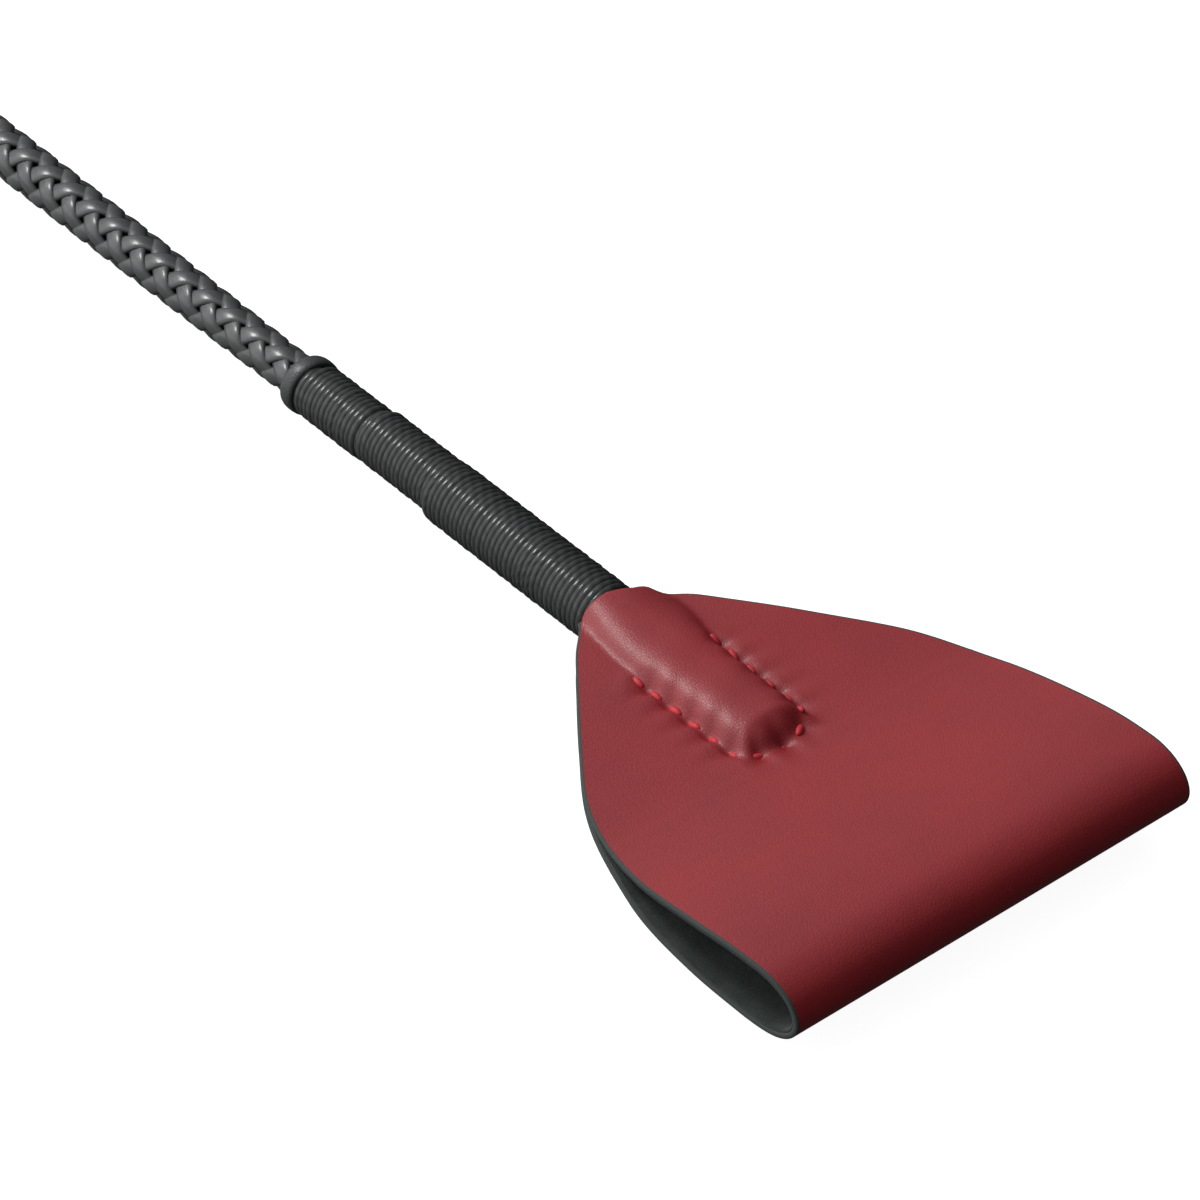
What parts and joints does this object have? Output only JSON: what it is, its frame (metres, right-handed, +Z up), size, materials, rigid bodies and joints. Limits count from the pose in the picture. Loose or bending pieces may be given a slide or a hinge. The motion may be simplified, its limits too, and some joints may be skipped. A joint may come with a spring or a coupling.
{
  "type": "riding crop",
  "caption": "Riding crop with a plaited shaft, a wide folded leather keeper stitched to the tip, a wrapped grip and a wrist loop.",
  "frame": {"origin": "on the surface the crop lies on, midway along the whole length with the wrist loop stretched out, under the shaft's axis", "axes": "+X along the shaft towards the keeper's fold, +Y across the keeper, +Z up, square to the keeper's leaves"},
  "size_m": [0.8124, 0.0956, 0.025],
  "materials": {
    "red_leather": "soft matt nappa",
    "lining": "napped split leather",
    "red_thread": "waxed thread",
    "plaited_leather": "waxed, semi-gloss",
    "ring_leather": "smooth semi-gloss",
    "waxed_cord": "waxed, glossy",
    "grip_leather": "pebbled matt",
    "strap_leather": "smooth semi-gloss",
    "cap_metal": "nickel-plated, satin",
    "pin_steel": "bright",
    "core_wood": "plain turned",
    "fibreglass": "smooth",
    "rubber": "matt"
  },
  "bodies": {
    "crop": {"core_rod": "fibreglass", "braided_cover": "plaited_leather", "tip_cap": "rubber", "tip_ring": "ring_leather", "tip_binding": "waxed_cord", "keeper_upper": "red_leather", "keeper_lower": "red_leather", "lining_upper": "lining", "lining_lower": "lining", "upper_stitches": "red_thread", "lower_stitches": "red_thread", "handle_core": "core_wood", "grip_leather": "grip_leather", "rear_binding": "waxed_cord", "front_binding": "waxed_cord", "grip_ring": "ring_leather", "butt_cap": "cap_metal", "loop_ends": "strap_leather", "loop_pin": "pin_steel"},
    "flap": {"keeper_flap": "red_leather", "lining_flap": "lining"},
    "loop": {"wrist_loop": "strap_leather"}
  },
  "joints": [
    {"name": "flap_bend", "type": "hinge", "parent": "crop", "child": "flap", "pos_m": [0.3517, 0, 0.0125], "axis": [0, 1, 0], "range_deg": [-25, 25], "stiffness_Nm_per_rad": 0.3},
    {"name": "loop_swing", "type": "hinge", "parent": "crop", "child": "loop", "pos_m": [-0.2562, 0, 0.0125], "axis": [0, 0, 1], "range_deg": [-70, 70]}
  ]
}
